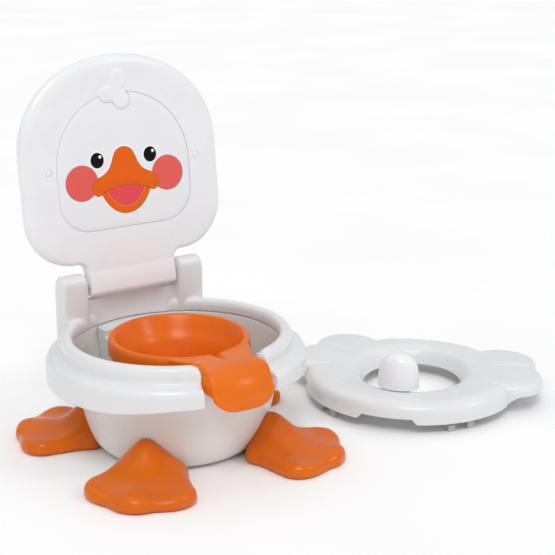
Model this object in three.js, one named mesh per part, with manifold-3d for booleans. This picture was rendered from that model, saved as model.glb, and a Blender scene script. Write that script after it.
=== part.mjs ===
// A toddler's potty shaped like a duck: a round bowl on four webbed feet, a raised frame with a hinged
// lid, a lift-out pot with a beak-like handle, and a seat ring with its splash guard that lies beside it.
// Millimetres. +Z is up, -Y is the front, and the origin is under the middle of the bowl, on the floor.
import * as THREE from "three";
import { mergeVertices } from "three/addons/utils/BufferGeometryUtils.js";
import Module from "manifold-3d";

const wasm = await Module();
wasm.setup();

// ---- Driving dimensions ---------------------------------------------------------------
const DEG = Math.PI / 180;
const GAP = 0.4; // clearance between pieces that rest against each other

const OVAL = 0.96; // bowl and frame are this much shorter front to back than they are wide
const OVAL_SHIFT = 5; // and their middle lies this far behind the origin
const BOWL_TOP = 115.6; // top of the bowl's rim
const FRAME_RADIUS = 142; // outside of the frame's skirt
const SKIRT_LOW = 82; // lower edge of the skirt at the sides
const SKIRT_FRONT_RISE = 8; // how much higher that edge is beside the mouth
const MOUTH_HALF_ANGLE = 18 * DEG; // half of the frame's front opening
const END_CAP_ANGLE = 1.5 * DEG; // thickness of the wall that closes the frame at the mouth

const HINGE_Y = 107; // lid hinge axis
const HINGE_Z = 162;
const TOWER_INNER = 57.5; // hinge towers span this to TOWER_OUTER, left and right
const TOWER_OUTER = 89.5;
const PIN_RADIUS = 4;
const PIN_INNER = 46; // hinge pins span this to PIN_OUTER
const PIN_OUTER = 70;

const LID_LEAN = 6.3 * DEG; // the open lid leans back against its stop
const LID_HALF_WIDTH = 122.5;
const LID_LOW = 26; // lid slab, measured up from the hinge axis
const LID_HIGH = 252;
const LID_FACE = -9; // the open lid's front face, measured from the hinge axis
const LID_REAR = 5;
const LID_WALL = 3;
const NECK_HALF_WIDTH = 56;
const PANEL_THICK = 1.2;

const FEET_ANGLES = { front_left: -47, front_right: 38, rear_left: -131, rear_right: 124 };
const FOOT_SCREW_Z = 34;
const FOOT_SCREW_SEAT = 93.8; // radius at which its head sits, on the wide sides of the oval
const FOOT_SCREW_LENGTH = 14;
const PAD_AT = 148; // how far from the Z axis the pads are
const PAD_RADIUS = 9;
const PAD_THICK = 2.4;

const POT_LOW = 40; // underside of the seated pot
const POT_TOP = 126;
const POT_RIM_RADIUS = 76;
const POT_OVAL = 1.05; // the pot is this much longer front to back than it is wide
const POT_REST_LEDGE = 106.6;

const RING_AT = new THREE.Vector3(296, -36, 0); // where the seat ring lies on the floor
const RING_TURN = -53 * DEG;
const RING_TOP = 36;
const RING_CLIP_ANGLES = { front_left: -43, front_right: 43, rear_left: -137, rear_right: 137 };

const WHITE = { color: 0xeeeeec, roughness: 0.38, metalness: 0 };
const ORANGE = { color: 0xe27320, roughness: 0.42, metalness: 0 };
const GREY = { color: 0xc9c6c0, roughness: 0.5, metalness: 0 };
const RUBBER = { color: 0x3a3a3c, roughness: 0.9, metalness: 0 };
const STEEL = { color: 0xb8bac0, roughness: 0.3, metalness: 1 };

// ---- Solids: joining and cutting closed meshes -------------------------------------------------------
function solidOf(geometry) {
  const loose = geometry.index ? geometry.toNonIndexed() : geometry.clone();
  loose.deleteAttribute("normal");
  loose.deleteAttribute("uv");
  const merged = mergeVertices(loose, 1e-3);
  const index = merged.index.array;
  const kept = [];
  for (let i = 0; i < index.length; i += 3) {
    const [a, b, c] = [index[i], index[i + 1], index[i + 2]];
    if (a !== b && b !== c && c !== a) kept.push(a, b, c);
  }
  const vertProperties = new Float32Array(merged.attributes.position.array);
  const mesh = new wasm.Mesh({ numProp: 3, vertProperties, triVerts: new Uint32Array(kept) });
  return new wasm.Manifold(mesh);
}

function geometryOf(solid) {
  const mesh = solid.getMesh();
  const geometry = new THREE.BufferGeometry();
  geometry.setAttribute("position", new THREE.BufferAttribute(mesh.vertProperties, 3));
  geometry.setIndex(new THREE.BufferAttribute(mesh.triVerts, 1));
  geometry.computeVertexNormals();
  return geometry;
}

const join = (first, ...others) => others.reduce((sum, other) => sum.add(other), first);
const cut = (first, ...others) => others.reduce((rest, other) => rest.subtract(other), first);

// ---- Shapes ---------------------------------------------------------------
// A profile of [radius, height] points turned round the Z axis, starting at the front.
function turned(profile, segments) {
  const points = profile.map(([radius, height]) => new THREE.Vector2(radius, height));
  return new THREE.LatheGeometry(points, segments).rotateX(Math.PI / 2);
}

function box(low, high) {
  const size = high.map((value, axis) => value - low[axis]);
  const middle = high.map((value, axis) => (value + low[axis]) / 2);
  return new THREE.BoxGeometry(...size).translate(...middle);
}

// A cylinder along X, from x = from to x = to.
function rodAlongX(radius, from, to, y, z, segments = 20) {
  const rod = new THREE.CylinderGeometry(radius, radius, Math.abs(to - from), segments);
  return rod.rotateZ(Math.PI / 2).translate((from + to) / 2, y, z);
}

// A standing cylinder.
function post(radius, low, high, x, y, segments = 20) {
  const standing = new THREE.CylinderGeometry(radius, radius, high - low, segments);
  return standing.rotateX(Math.PI / 2).translate(x, y, (low + high) / 2);
}

// A Y-Z outline carried along X between -halfWidth and +halfWidth.
function acrossX(outline, halfWidth, steps = 1) {
  const shape = outline instanceof THREE.Shape ? outline : shapeOf(outline);
  const options = { depth: 2 * halfWidth, bevelEnabled: false, steps, curveSegments: 5 };
  const extruded = new THREE.ExtrudeGeometry(shape, options).translate(0, 0, -halfWidth);
  return extruded.rotateY(Math.PI / 2).rotateX(Math.PI / 2);
}

// A plate that stands in the X-Z plane, from y = front to y = back, with rounded edges.
function standingPlate(shape, front, back, rounding = 0, curveSegments = 6) {
  const options = {
    depth: back - front - 2 * rounding,
    bevelEnabled: rounding > 0,
    bevelThickness: rounding,
    bevelSize: rounding,
    bevelOffset: -rounding,
    bevelSegments: 2,
    curveSegments,
  };
  const plate = new THREE.ExtrudeGeometry(shape, options).rotateX(Math.PI / 2);
  return plate.translate(0, back - rounding, 0);
}

function shapeOf(points) {
  return new THREE.Shape(points.map(([x, y]) => new THREE.Vector2(x, y)));
}

// Moves every vertex of a geometry by a function of its place.
function reshape(geometry, move) {
  const position = geometry.attributes.position;
  const vertex = new THREE.Vector3();
  for (let i = 0; i < position.count; i += 1) {
    vertex.fromBufferAttribute(position, i);
    move(vertex);
    position.setXYZ(i, vertex.x, vertex.y, vertex.z);
  }
  return geometry;
}

// Eases from 0 at one value to 1 at another, which may be the smaller of the two.
const smooth = (from, to, value) => THREE.MathUtils.smoothstep((value - from) / (to - from), 0, 1);
const angleFromFront = (x, y) => Math.atan2(x, -y);
const ovalise = (geometry) => geometry.scale(1, OVAL, 1).translate(0, OVAL_SHIFT, 0);

// The wedge of the frame's front mouth, seen from above before the frame is made oval.
function mouthWedge(halfAngle) {
  const reach = 400;
  const side = reach * Math.tan(halfAngle);
  const wedge = new THREE.ExtrudeGeometry(shapeOf([[0, 0], [-side, -reach], [side, -reach]]), {
    depth: 200,
    bevelEnabled: false,
  });
  return solidOf(wedge);
}

// ---- Bowl ---------------------------------------------------------------
const BOWL_OUTSIDE = [
  [0, 0],
  [72, 0],
  [84, 4],
  [93, 13],
  [99, 27],
  [104, 45],
  [108, 65],
  [112, 85],
  [116, 100],
  [120, 102],
  [120, 112],
  [117.5, BOWL_TOP],
];
const BOWL_INSIDE = [
  [113, BOWL_TOP],
  [111, 100],
  [107.5, 84],
  [104, 66],
  [100, 46],
  [95, 29],
  [89, 16],
  [81, 8],
  [70, 4.5],
  [0, 4.5],
];

const BOWL_SEGMENTS = 36;

function screwHole(angle, radius) {
  const hole = new THREE.CylinderGeometry(radius, radius, 50, 12).rotateZ(Math.PI / 2);
  return solidOf(hole.translate(100, 0, FOOT_SCREW_Z).rotateZ((angle - 90) * DEG));
}

// Two small ribs under the pot's handle, on the wall inside the bowl's rim.
function handleRib(side) {
  const outline = [
    [-112, 97],
    [-98, BOWL_TOP - 0.6],
    [-112, BOWL_TOP - 0.6],
  ];
  return solidOf(acrossX(outline, 1.8).translate(side * 14, 8, 0));
}

function bowl() {
  const shell = solidOf(ovalise(turned([...BOWL_OUTSIDE, ...BOWL_INSIDE], BOWL_SEGMENTS)));
  const holes = Object.values(FEET_ANGLES).map((angle) => screwHole(angle, 2.8));
  return cut(join(shell, handleRib(-1), handleRib(1)), ...holes);
}

// Everything that the bowl's outside fills, grown by the clearance, for cutting what stands against it.
function bowlEnvelope() {
  const profile = BOWL_OUTSIDE.map(([radius, height], i) => [i ? radius + GAP + 0.3 : 0, height]);
  profile[0] = [0, -5];
  profile[1] = [BOWL_OUTSIDE[1][0] + GAP, -5];
  return solidOf(ovalise(turned([...profile, [0, BOWL_TOP]], BOWL_SEGMENTS)));
}

// The room inside the bowl, shrunk by the clearance.
function bowlRoom() {
  const profile = BOWL_INSIDE.map(([radius, height]) => [Math.max(radius - GAP - 0.3, 0), height + GAP]);
  profile[0][1] = BOWL_TOP + 10;
  profile.unshift([0, BOWL_TOP + 10]);
  return solidOf(ovalise(turned(profile.reverse(), BOWL_SEGMENTS)));
}

// ---- Frame: collar, ledge, skirt and hinge towers ---------------------------------------------------
const FRAME_OUTSIDE = [
  [112.2, BOWL_TOP + 0.8],
  [121.4, BOWL_TOP + 0.8],
  [121.4, SKIRT_LOW],
  [FRAME_RADIUS, SKIRT_LOW],
  [FRAME_RADIUS, 106],
  [FRAME_RADIUS - 2.5, 110],
  [129, 112],
  [126.5, 114],
  [126.5, 124],
  [124, 128.5],
  [119, 130.3],
  [114, 129],
  [112.2, 124],
  [112.2, BOWL_TOP + 0.8],
];
const FRAME_HOLLOW = [
  [115.5, SKIRT_LOW - 5],
  [138.5, SKIRT_LOW - 5],
  [138.5, 106],
  [123, 110],
  [123, 123],
  [119, 126.5],
  [115.5, 124],
  [115.5, SKIRT_LOW - 5],
];
const FRAME_SEGMENTS = 40;
const FRAME_WALL = 3.5; // walls of the hollow towers and of the bridge
const TOWER_TOP = HINGE_Z + 16;
const TOWER_FRONT = HINGE_Y - 12;
const TOWER_BACK = HINGE_Y + 11;

function raiseSkirtAtMouth(vertex) {
  const fromFront = Math.abs(angleFromFront(vertex.x, vertex.y));
  const share = 1 - smooth(MOUTH_HALF_ANGLE, MOUTH_HALF_ANGLE + 50 * DEG, fromFront);
  if (vertex.z < SKIRT_LOW + 5) vertex.z += SKIRT_FRONT_RISE * share;
}

function hingeTower(side) {
  const front = TOWER_FRONT;
  const back = TOWER_BACK;
  const round = 10;
  const outline = new THREE.Shape();
  outline.moveTo(front, 90);
  outline.lineTo(back, 90);
  outline.lineTo(back, TOWER_TOP - round);
  outline.absarc(back - round, TOWER_TOP - round, round, 0, 90 * DEG, false);
  outline.absarc(front + round, TOWER_TOP - round, round, 90 * DEG, 180 * DEG, false);
  const halfWidth = (TOWER_OUTER - TOWER_INNER) / 2;
  const block = acrossX(outline, halfWidth).translate(side * (TOWER_INNER + halfWidth), 0, 0);
  const boreRadius = PIN_RADIUS + GAP;
  const bore = rodAlongX(boreRadius, side * (TOWER_INNER - 2), side * (PIN_OUTER + 1), HINGE_Y, HINGE_Z);
  const middle = (TOWER_INNER + TOWER_OUTER) / 2;
  const inside = box(
    [-halfWidth + FRAME_WALL, front + FRAME_WALL, 60],
    [halfWidth - FRAME_WALL, back - FRAME_WALL, HINGE_Z - 12],
  );
  return cut(solidOf(block), solidOf(bore), solidOf(inside.translate(side * middle, 0, 0)));
}

// The block between the towers, which the lid's knuckle turns above.
function hingeBridge() {
  const low = [-TOWER_INNER - 1, HINGE_Y - 3, 100];
  const high = [TOWER_INNER + 1, TOWER_BACK, HINGE_Z - 15];
  const inside = box(
    [low[0] + FRAME_WALL, low[1] + FRAME_WALL, 60],
    [high[0] - FRAME_WALL, high[1] - FRAME_WALL, high[2] - FRAME_WALL],
  );
  return cut(solidOf(box(low, high)), solidOf(inside));
}

function upperFrame() {
  const outside = solidOf(reshape(turned(FRAME_OUTSIDE, FRAME_SEGMENTS), raiseSkirtAtMouth));
  const hollow = solidOf(turned(FRAME_HOLLOW, FRAME_SEGMENTS));
  const wall = cut(
    outside,
    mouthWedge(MOUTH_HALF_ANGLE),
    cut(hollow, mouthWedge(MOUTH_HALF_ANGLE + END_CAP_ANGLE)),
  );
  const ring = solidOf(ovalise(geometryOf(wall)));
  const rear = cut(join(hingeTower(-1), hingeTower(1), hingeBridge()), frameClearance());
  return join(ring, rear);
}

// The towers and the bridge keep out of the bowl and of the room above it.
function frameClearance() {
  const radius = 121.4;
  const top = BOWL_TOP + 0.8;
  return solidOf(ovalise(turned([[0, 0], [radius, 0], [radius, top], [0, top]], FRAME_SEGMENTS)));
}

// ---- Inside the bowl: rear rest and the two clips by the mouth ------------------------------------------
function potRest() {
  const block = solidOf(box([-46, 68, -5], [46, 120, POT_REST_LEDGE]));
  const platform = solidOf(box([-46, 85, 90], [46, 120, BOWL_TOP - 0.4]));
  const notch = solidOf(box([-9, 60, POT_REST_LEDGE - 5], [9, 73, POT_REST_LEDGE + 5]));
  const step = solidOf(box([-20, 60, 70], [20, 71, POT_REST_LEDGE - 12]));
  const hollow = solidOf(box([-42, 75, 0], [42, 103, POT_REST_LEDGE - 4]));
  return cut(join(block, platform), notch, step, hollow).intersect(bowlRoom());
}

// A forked tongue on a foot that fits the bowl's wall.
function potClip(side) {
  const plate = solidOf(box([-6, -2, 96], [6, 2, 121]));
  const heel = solidOf(box([-6, -9, 96], [6, 2, 108]));
  const slot = solidOf(box([-2.4, -5, 112], [2.4, 5, 125]));
  const turn = side * 27 * DEG;
  const clip = geometryOf(cut(join(plate, heel), slot)).rotateZ(turn);
  clip.translate(106 * Math.sin(turn), OVAL_SHIFT - 106 * OVAL * Math.cos(turn), 0);
  return solidOf(clip).intersect(bowlRoom());
}

// ---- Feet ---------------------------------------------------------------
// Plan of one foot, toes towards +X: a narrow heel at the bowl, and three webbed toes.
const FOOT_HALF_OUTLINE = [
  [186, 0],
  [184, 12],
  [177, 23],
  [173, 33],
  [167, 46],
  [156, 56],
  [142, 58],
  [124, 49],
  [104, 38],
  [86, 31],
];
const FOOT_MIDDLE = 130;
const FOOT_SIDES = 26;

function footOutline() {
  const right = FOOT_HALF_OUTLINE.slice(1).map(([x, y]) => [x, -y]);
  const loop = [...right.reverse(), ...FOOT_HALF_OUTLINE];
  const points = loop.map(([x, y]) => new THREE.Vector3(x, y, 0));
  return new THREE.CatmullRomCurve3(points, true, "centripetal");
}

// Height of the foot's top: flat webbed toes that sweep up into the ankle against the bowl.
function footHeight(x, y) {
  const ankle = Math.exp(-(((x - 98) / 27) ** 2) - (y / 25) ** 2);
  const toes = 2.2 * Math.cos((y / 30) * Math.PI) * smooth(120, 165, x);
  return 15.5 + toes + 31 * ankle;
}

// Rings of [share of the outline, share of the height], from the middle of the sole to the top.
const FOOT_RINGS = [
  [0, 0],
  [0.95, 0],
  [1, 0.22],
  [0.98, 0.62],
  [0.9, 0.92],
  [0.68, 1],
  [0.34, 1],
  [0, 1],
];

function footBlank(rings, sole, inset) {
  const outline = footOutline();
  return reshape(turned(rings, FOOT_SIDES), (vertex) => {
    const share = Math.hypot(vertex.x, vertex.y);
    const turn = share > 0 ? angleFromFront(vertex.x, vertex.y) / (2 * Math.PI) : 0;
    const edge = outline.getPoint((turn + 1) % 1);
    const reach = Math.hypot(edge.x - FOOT_MIDDLE, edge.y);
    const scale = share * (1 - inset / reach);
    const level = vertex.z;
    vertex.x = FOOT_MIDDLE + (edge.x - FOOT_MIDDLE) * scale;
    vertex.y = edge.y * scale;
    vertex.z = sole + level * (footHeight(vertex.x, vertex.y) - inset - sole);
  });
}

function foot(angle) {
  const outside = solidOf(footBlank(FOOT_RINGS, 1, 0));
  const hollowRings = FOOT_RINGS.filter((_, i) => i !== 3);
  const boss = solidOf(box([60, -70, -10], [120, 70, 60]));
  const padPost = solidOf(post(PAD_RADIUS + 3.5, -10, 60, PAD_AT, 0, 16));
  const hollow = cut(solidOf(footBlank(hollowRings, -3, 3.5)), boss, padPost);
  const pocket = solidOf(post(PAD_RADIUS + GAP, -5, PAD_THICK + GAP, PAD_AT, 0, 16));
  const screw = solidOf(rodAlongX(2.8, 80, 109.5, 0, FOOT_SCREW_Z, 12));
  const shaped = cut(outside, hollow, pocket, screw);
  const turnedOut = solidOf(geometryOf(shaped).rotateZ((angle - 90) * DEG));
  return cut(turnedOut, bowlEnvelope());
}

// A pan-head screw from inside the bowl, through its wall, into the foot.
function footScrew() {
  const head = new THREE.CylinderGeometry(3.2, 4.6, 3, 16).rotateZ(Math.PI / 2).translate(-1.5, 0, 0);
  const shank = rodAlongX(2.3, -1, FOOT_SCREW_LENGTH, 0, 0, 12);
  const slot = box([-5, -0.6, -4], [-1.8, 0.6, 4]);
  return cut(join(solidOf(head), solidOf(shank)), solidOf(slot));
}

// How far from the Z axis a radial screw's head seats on the bowl's oval inside wall.
function screwSeat(angle) {
  const across = Math.sin(angle * DEG);
  const along = Math.cos(angle * DEG) / OVAL;
  return FOOT_SCREW_SEAT / Math.hypot(across, along) - OVAL_SHIFT * Math.cos(angle * DEG);
}

// ---- Lid ---------------------------------------------------------------
// Outline of the lid's slab, arched at the top, shrunk by inset on every side.
function lidOutline(inset = 0) {
  const half = LID_HALF_WIDTH - inset;
  const low = LID_LOW + inset;
  const high = LID_HIGH - inset;
  const corner = 54 - inset / 2;
  const shape = new THREE.Shape();
  shape.moveTo(-half + corner, low);
  shape.lineTo(half - corner, low);
  shape.absarc(half - corner, low + corner, corner, -90 * DEG, 0, false);
  shape.lineTo(half, 148);
  shape.bezierCurveTo(half, 205, half - 48, high, 0, high);
  shape.bezierCurveTo(-half + 48, high, -half, 205, -half, 148);
  shape.lineTo(-half, low + corner);
  shape.absarc(-half + corner, low + corner, corner, 180 * DEG, 270 * DEG, false);
  return shape;
}

// Outline of the printed face panel, grown by the given margin.
function panelOutline(margin = 0) {
  const half = 82 + margin;
  const low = 62 - margin;
  const high = 211 + margin;
  const corner = 36 + margin;
  const shape = new THREE.Shape();
  shape.moveTo(-half + corner, low);
  shape.lineTo(half - corner, low);
  shape.absarc(half - corner, low + corner, corner, -90 * DEG, 0, false);
  shape.lineTo(half, 130);
  shape.bezierCurveTo(half, 178, half - 38, high, 0, high);
  shape.bezierCurveTo(-half + 38, high, -half, 178, -half, 130);
  shape.lineTo(-half, low + corner);
  shape.absarc(-half + corner, low + corner, corner, 180 * DEG, 270 * DEG, false);
  return shape;
}

// Three overlapping discs round a fourth make the tuft of feathers: [x, height above the hinge, radius].
const TUFT = [
  [0.5, 225.5, 12],
  [-15, 209.5, 9.8],
  [3, 202, 10.8],
  [-4, 212, 8.5],
];

function tuft(front, back, margin) {
  const discs = TUFT.map(([x, z, radius]) => {
    const disc = new THREE.CylinderGeometry(radius + margin, radius + margin, back - front, 16);
    return solidOf(disc.translate(x, (front + back) / 2, z));
  });
  return join(...discs);
}

const BUMPER_AT = [92, 132];
const BUMPER_RADIUS = 4;

function bumperDisc(side, radius, front, back) {
  const disc = new THREE.CylinderGeometry(radius, radius, back - front, 16);
  return disc.translate(side * BUMPER_AT[0], (front + back) / 2, BUMPER_AT[1]);
}

function lidKnuckle() {
  const half = 11;
  const round = 5;
  const outline = new THREE.Shape();
  outline.moveTo(-half, -half + round);
  outline.absarc(-half + round, -half + round, round, 180 * DEG, 270 * DEG, false);
  outline.absarc(half - round, -half + round, round, 270 * DEG, 360 * DEG, false);
  outline.absarc(half - round, half - round, round, 0, 90 * DEG, false);
  outline.absarc(-half + round, half - round, round, 90 * DEG, 180 * DEG, false);
  const bar = solidOf(acrossX(outline, NECK_HALF_WIDTH - 2));
  const bores = [-1, 1].map((side) =>
    solidOf(rodAlongX(PIN_RADIUS + GAP, side * (PIN_INNER - 1), side * NECK_HALF_WIDTH, 0, 0)),
  );
  return [bar, bores];
}

// The front shell of the lid: a tray open at the back, with the neck and the hinge knuckle.
function lidShell() {
  const slab = solidOf(standingPlate(lidOutline(), LID_FACE, LID_REAR, 6));
  const tray = solidOf(standingPlate(lidOutline(9), LID_FACE + LID_WALL, LID_REAR + 5));
  const neckLow = [-NECK_HALF_WIDTH, LID_FACE + 1.5, 6];
  const neckHigh = [NECK_HALF_WIDTH, LID_REAR - 0.5, LID_LOW + 8.5];
  const neck = solidOf(box(neckLow, neckHigh));
  const [knuckle, bores] = lidKnuckle();
  const panelPocket = standingPlate(panelOutline(GAP), LID_FACE - 5, LID_FACE + PANEL_THICK + GAP);
  const bumperPockets = [-1, 1].map((side) =>
    solidOf(bumperDisc(side, BUMPER_RADIUS + GAP, LID_FACE - 5, LID_FACE + 1.5)),
  );
  const tuftPad = tuft(LID_FACE - 1, LID_FACE + LID_WALL - 0.5, 0);
  const pocket = cut(solidOf(panelPocket), tuft(LID_FACE - 8, LID_FACE + 5, 0));
  const shell = cut(slab, tray, pocket, ...bumperPockets);
  return cut(join(shell, tuftPad, neck, knuckle), ...bores);
}

function lidBackCover() {
  return solidOf(standingPlate(lidOutline(9 + GAP), LID_REAR - LID_WALL, LID_REAR));
}

function facePanel() {
  const panel = solidOf(standingPlate(panelOutline(), LID_FACE, LID_FACE + PANEL_THICK));
  return cut(panel, tuft(LID_FACE - 5, LID_FACE + 5, GAP));
}

// ---- Pot ---------------------------------------------------------------
const POT_OUTSIDE = [
  [0, POT_LOW],
  [41, POT_LOW],
  [44, POT_LOW + 2],
  [44.5, 53],
  [42.8, 56.5],
  [46, 68],
  [52, 86],
  [57.5, 102],
  [62, 110],
  [68, 121],
  [72.6, 121.5],
  [73, 107],
  [POT_RIM_RADIUS, 107],
  [POT_RIM_RADIUS, 121],
  [74.6, 124.6],
  [72, POT_TOP],
  [0, POT_TOP],
];
const POT_INSIDE = [
  [0, POT_LOW + 3.5],
  [38, POT_LOW + 3.5],
  [40.5, 47],
  [40, 56],
  [43, 68],
  [49, 86],
  [54.5, 101],
  [60, 109],
  [66.5, 121],
  [69.5, POT_TOP],
  [69.5, POT_TOP + 10],
  [0, POT_TOP + 10],
];
const POT_SEGMENTS = 32;

// Side view of the handle: a broad tongue that leaves the rim level and turns down in front.
function handleOutline() {
  const shape = new THREE.Shape();
  shape.moveTo(-66, 117.5);
  shape.lineTo(-66, POT_TOP - 0.4);
  shape.lineTo(-108, POT_TOP - 0.4);
  shape.bezierCurveTo(-126, POT_TOP - 1, -138, 112, -139, 84);
  shape.lineTo(-131, 84);
  shape.bezierCurveTo(-131, 104, -124, 116, -112, 117.5);
  return shape;
}

function potHandle() {
  const nominal = 36;
  const handle = reshape(acrossX(handleOutline(), nominal, 10), (vertex) => {
    const across = vertex.x / nominal;
    const spread = smooth(-78, -122, vertex.y);
    vertex.x = across * (28.5 + 7.5 * spread);
    vertex.z += 15 * across ** 4 * smooth(108, 84, vertex.z);
    vertex.z -= 2.2 * across * across * smooth(-90, -115, vertex.y);
    vertex.y += 7 * across * across * smooth(-112, -138, vertex.y);
  });
  return solidOf(handle);
}

function potBoss(side) {
  const profile = [[0, 90], [6, 92], [9, 97], [9, 115], [0, 115]];
  const away = 64;
  const turn = side * 35 * DEG;
  const boss = turned(profile, 14);
  return solidOf(boss.translate(away * Math.sin(turn), -away * Math.cos(turn) * POT_OVAL, 0));
}

function pot() {
  const blank = solidOf(turned(POT_OUTSIDE, POT_SEGMENTS).scale(1, POT_OVAL, 1));
  const room = solidOf(turned(POT_INSIDE, POT_SEGMENTS).scale(1, POT_OVAL, 1));
  const spoutNotch = solidOf(acrossX([[-72, POT_TOP + 2], [-60, POT_TOP - 9], [-84, POT_TOP + 2]], 7));
  return cut(join(blank, potHandle(), potBoss(-1), potBoss(1)), room, spoutNotch);
}

// ---- Seat ring and splash guard, about the ring's own middle ---------------------------
const RING_SECTION = [
  [121, 11.5],
  [121, 27],
  [118, 32.5],
  [110, RING_TOP - 0.2],
  [82, 34.8],
  [70, 32],
  [64, 25],
  [61, 15],
  [64.5, 15],
  [69, 26],
  [80, 30.8],
  [110, 32],
  [117.5, 26],
  [117.5, 11.5],
  [121, 11.5],
];
const RING_SEGMENTS = 60;
const OPENING = { at: 66, halfWidth: 63, halfLength: 70, shift: 8 };
const RIM = { at: 121, halfWidth: 124, halfLength: 118 };
// Each wing has two feather lobes: [middle angle, half its spread, how far it stands out].
const WING_LOBES = [
  [103, 23, 33],
  [128, 17, 41],
];

function wingReach(degrees) {
  const lobes = WING_LOBES.map(([middle, spread, reach]) => {
    const off = (Math.abs(degrees) - middle) / spread;
    return reach * Math.max(0, 1 - off * off) ** 0.6;
  });
  return Math.max(...lobes);
}

function shapeRing(vertex) {
  const radius = Math.hypot(vertex.x, vertex.y);
  const turn = angleFromFront(vertex.x, vertex.y);
  const degrees = turn / DEG;
  const share = (radius - OPENING.at) / (RIM.at - OPENING.at);
  const halfWidth = THREE.MathUtils.lerp(OPENING.halfWidth, RIM.halfWidth, share);
  const halfLength = THREE.MathUtils.lerp(OPENING.halfLength, RIM.halfLength, share);
  const reach = wingReach(degrees);
  const outward = reach * smooth(98, 119, radius);
  const isSkirtEdge = radius > 115 && vertex.z < 20;
  const arch = 6.5 * (1 - smooth(14, 19, Math.abs(degrees)));
  if (isSkirtEdge) vertex.z += Math.max(arch, 10 * Math.min(1, reach / 12));
  vertex.x = (halfWidth + outward) * Math.sin(turn);
  vertex.y = -(halfLength + outward) * Math.cos(turn) + OPENING.shift * (1 - share);
}

function ringShell() {
  return solidOf(reshape(turned(RING_SECTION, RING_SEGMENTS), shapeRing));
}

// A bracket under the ring: two legs with small hooks that stand on the floor.
function ringClip() {
  const plate = solidOf(box([-17, -2, 0], [17, 2, 29]));
  const gap = solidOf(box([-8, -5, -5], [8, 5, 10]));
  const hooks = [-1, 1].map((side) => solidOf(box([side * 12.5 - 4.5, -5, 0], [side * 12.5 + 4.5, -1, 8])));
  return join(cut(plate, gap), ...hooks);
}

const GUARD_FOOT = RING_TOP + 0.7;
const GUARD_AT = -60;

function splashGuard() {
  const outside = [[0, 0], [24, 0], [24, 13], [22, 25], [17, 33.5], [9, 38], [0, 39]];
  const inside = [[0, 3], [21, 3], [21, 13], [19, 23.5], [14.5, 31], [7, 35], [0, 36]];
  const dome = solidOf(turned(outside, 20).scale(1, 0.72, 1).translate(0, GUARD_AT, GUARD_FOOT));
  const room = solidOf(turned(inside, 20).scale(1, 0.72, 1).translate(0, GUARD_AT + 0.5, GUARD_FOOT));
  const mouth = solidOf(box([-17, GUARD_AT + 3, GUARD_FOOT + 3], [17, GUARD_AT + 30, GUARD_FOOT + 27]));
  const tab = solidOf(box([-12, -53.5, 20], [12, -50.5, GUARD_FOOT + 1]));
  return join(cut(dome, room, mouth), tab);
}

// ---- Scene graph ---------------------------------------------------------------
function piece(name, solid, finish) {
  const mesh = new THREE.Mesh(geometryOf(solid), new THREE.MeshStandardMaterial(finish));
  mesh.name = name;
  return mesh;
}

function baseGroup() {
  const base = new THREE.Group();
  base.add(piece("base_bowl", bowl(), WHITE));
  base.add(piece("upper_frame", upperFrame(), WHITE));
  base.add(piece("pot_rest", potRest(), WHITE));
  for (const [where, angle] of Object.entries(FEET_ANGLES)) {
    base.add(piece(`foot_${where}`, foot(angle), ORANGE));
    const spoke = new THREE.Group();
    spoke.rotation.z = (angle - 90) * DEG;
    const pad = piece(`foot_pad_${where}`, solidOf(post(PAD_RADIUS, 0, PAD_THICK, 0, 0, 16)), RUBBER);
    pad.position.x = PAD_AT;
    const screw = piece(`foot_screw_${where}`, footScrew(), STEEL);
    screw.position.set(screwSeat(angle), 0, FOOT_SCREW_Z);
    spoke.add(pad, screw);
    base.add(spoke);
  }
  for (const [where, side] of [["left", -1], ["right", 1]]) {
    const pin = rodAlongX(PIN_RADIUS, side * PIN_INNER, side * PIN_OUTER, HINGE_Y, HINGE_Z);
    base.add(piece(`hinge_pin_${where}`, solidOf(pin), STEEL));
    base.add(piece(`pot_clip_${where}`, potClip(side), WHITE));
  }
  return base;
}

function lidGroup() {
  const lid = new THREE.Group();
  lid.position.set(0, HINGE_Y, HINGE_Z);
  lid.rotation.x = -LID_LEAN;
  lid.add(piece("lid_shell", lidShell(), WHITE));
  lid.add(piece("lid_back_cover", lidBackCover(), WHITE));
  lid.add(piece("face_panel", facePanel(), WHITE));
  for (const [where, side] of [["left", -1], ["right", 1]]) {
    const bumper = solidOf(bumperDisc(side, BUMPER_RADIUS, LID_FACE - 1.2, LID_FACE + 1.1));
    lid.add(piece(`lid_bumper_${where}`, bumper, WHITE));
  }
  return lid;
}

function ringGroup() {
  const ring = new THREE.Group();
  ring.position.copy(RING_AT);
  ring.rotation.z = RING_TURN;
  ring.add(piece("seat_ring", ringShell(), WHITE));
  ring.add(piece("splash_guard", splashGuard(), WHITE));
  for (const [where, angle] of Object.entries(RING_CLIP_ANGLES)) {
    const clip = piece(`ring_clip_${where}`, ringClip(), GREY);
    const turn = angle * DEG;
    clip.position.set(111.5 * Math.sin(turn), -106.5 * Math.cos(turn), 0);
    clip.rotation.z = turn;
    ring.add(clip);
  }
  return ring;
}

const potty = new THREE.Group();
potty.add(baseGroup(), lidGroup(), piece("pot", pot(), ORANGE), ringGroup());

export default potty;
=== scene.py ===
"""Looks of the duck potty: fine moulded-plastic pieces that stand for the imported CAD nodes.

Sizes here are millimetres in the CAD frame (+Z up, -Y the front); meshes are scaled to metres as they are made.
"""

import math

import bmesh
import bpy
import numpy as np
from mathutils import Matrix, Vector


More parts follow.
